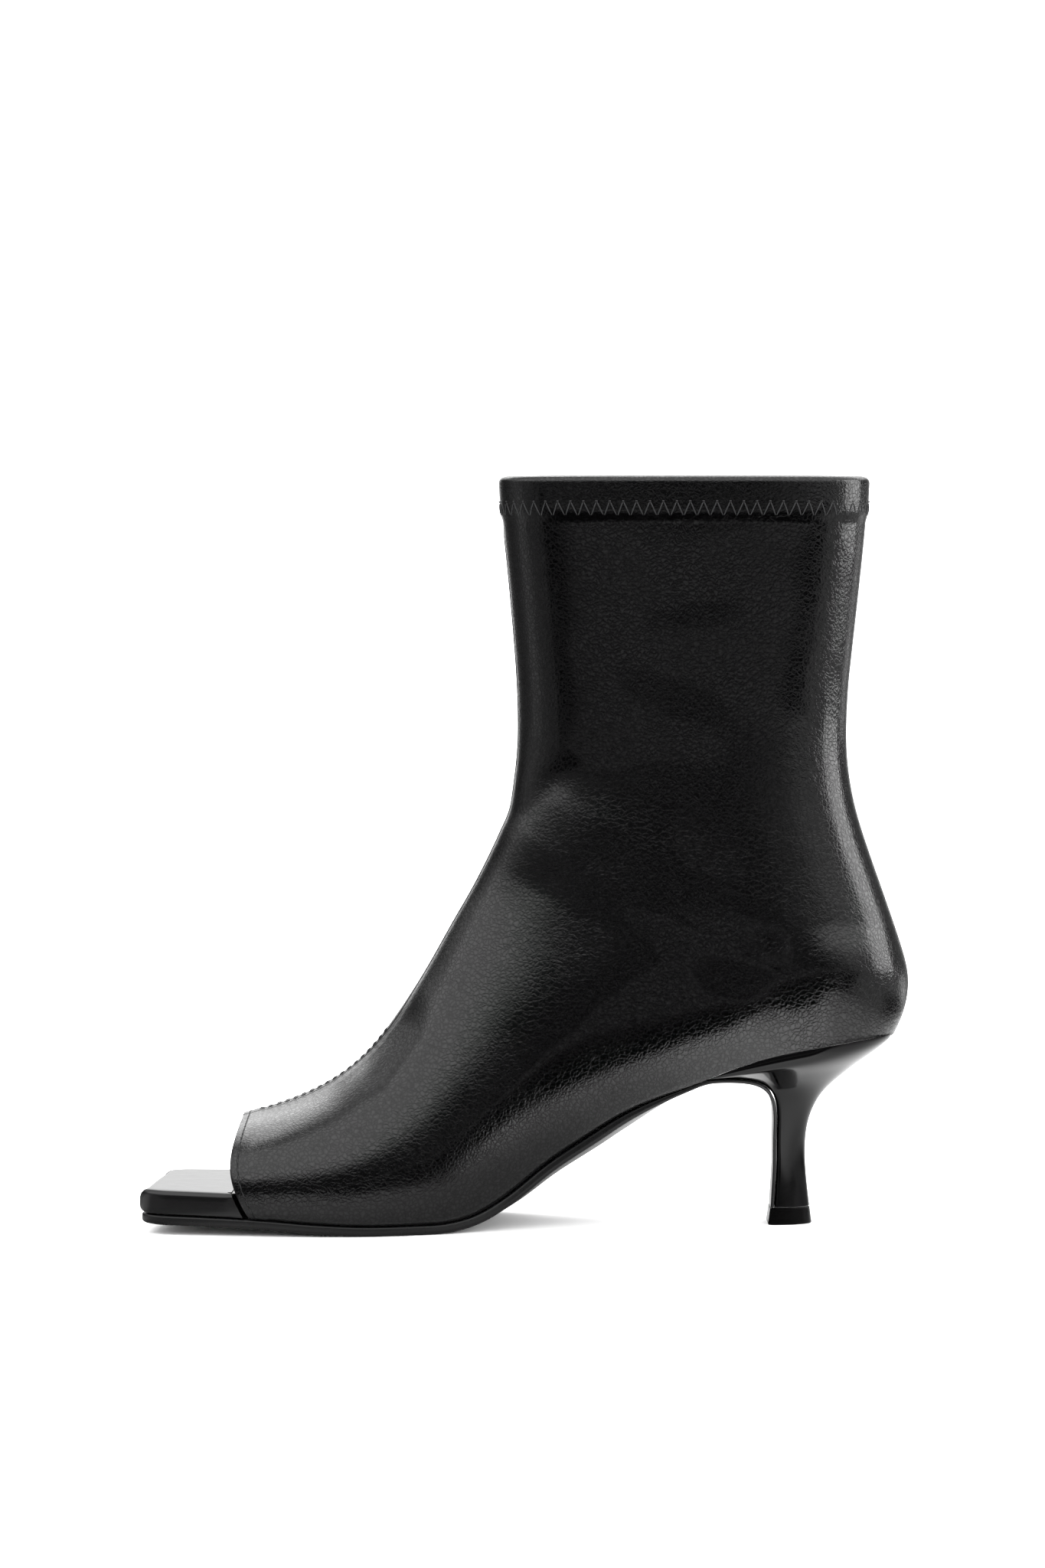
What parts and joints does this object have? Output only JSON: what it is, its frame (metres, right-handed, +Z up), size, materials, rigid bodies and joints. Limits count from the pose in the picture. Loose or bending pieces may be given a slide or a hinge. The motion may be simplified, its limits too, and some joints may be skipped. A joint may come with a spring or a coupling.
{
  "type": "heeled ankle boot",
  "caption": "Slim pull-on ankle boot for the right foot in glossy black faux leather, with a square open toe, a folded stitched collar and a flared kitten heel.",
  "frame": {"origin": "middle of the boot's box, on the floor under it", "axes": "+X from the toe to the heel, +Y from the inner side of the foot to the outer side, +Z up"},
  "size_m": [0.2434, 0.083, 0.238],
  "materials": {
    "upper_leather": "glossy",
    "footbed_leather": "satin",
    "outsole": "satin",
    "heel_lacquer": "glossy",
    "top_lift": "satin"
  },
  "bodies": {
    "root": {"upper": "upper_leather", "footbed": "footbed_leather", "outsole": "outsole", "heel": "heel_lacquer", "top_lift": "top_lift"}
  },
  "joints": []
}
